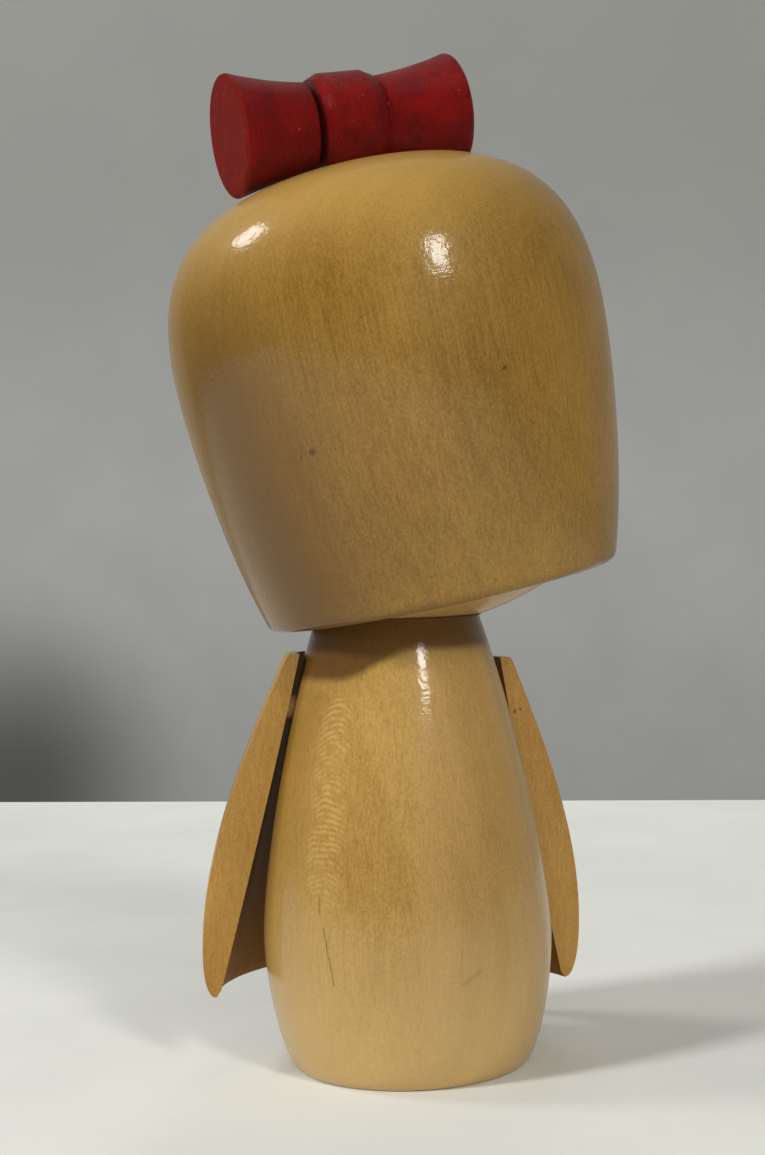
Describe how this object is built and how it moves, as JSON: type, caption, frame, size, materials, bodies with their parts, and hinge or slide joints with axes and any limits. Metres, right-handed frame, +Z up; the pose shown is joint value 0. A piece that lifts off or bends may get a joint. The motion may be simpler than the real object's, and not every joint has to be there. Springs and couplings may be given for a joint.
{
  "type": "kokeshi doll",
  "caption": "Turned wooden kokeshi doll with a leaning bob-haired head, bell sleeves on shoulder pegs and a red spool bow on the crown.",
  "frame": {"origin": "centre of the flat base that the doll stands on", "axes": "+Z up along the body's turning axis, -Y the way the doll faces, +X towards the doll's own left side"},
  "size_m": [0.0889, 0.0866, 0.2012],
  "materials": {
    "bare_wood": "clear gloss lacquer over pale turned wood",
    "face_wood": "clear satin lacquer over pale wood, with a painted face",
    "bow_paint": "worn brushed red paint over turned wood",
    "peg_wood": "plain dowel, unfinished"
  },
  "bodies": {
    "trunk": {"body": "bare_wood"},
    "head": {"head_core": "face_wood", "hair": "bare_wood", "bow": "bow_paint", "bow_peg": "peg_wood", "neck_peg": "peg_wood"},
    "left_arm": {"left_sleeve": "bare_wood", "left_shoulder_peg": "peg_wood"},
    "right_arm": {"right_sleeve": "bare_wood", "right_shoulder_peg": "peg_wood"}
  },
  "joints": [
    {"name": "head_turn", "type": "hinge", "parent": "trunk", "child": "head", "pos_m": [0, 0, 0.0885], "axis": [0, 0, 1], "continuous": true},
    {"name": "left_arm_swing", "type": "hinge", "parent": "trunk", "child": "left_arm", "pos_m": [-0.00045, -0.006, 0.071], "axis": [-0.9998, 0, -0.0192], "range_deg": [-4, 18]},
    {"name": "right_arm_swing", "type": "hinge", "parent": "trunk", "child": "right_arm", "pos_m": [-0.00045, -0.006, 0.0692], "axis": [-0.9998, 0, -0.0192], "range_deg": [-4, 18]}
  ]
}
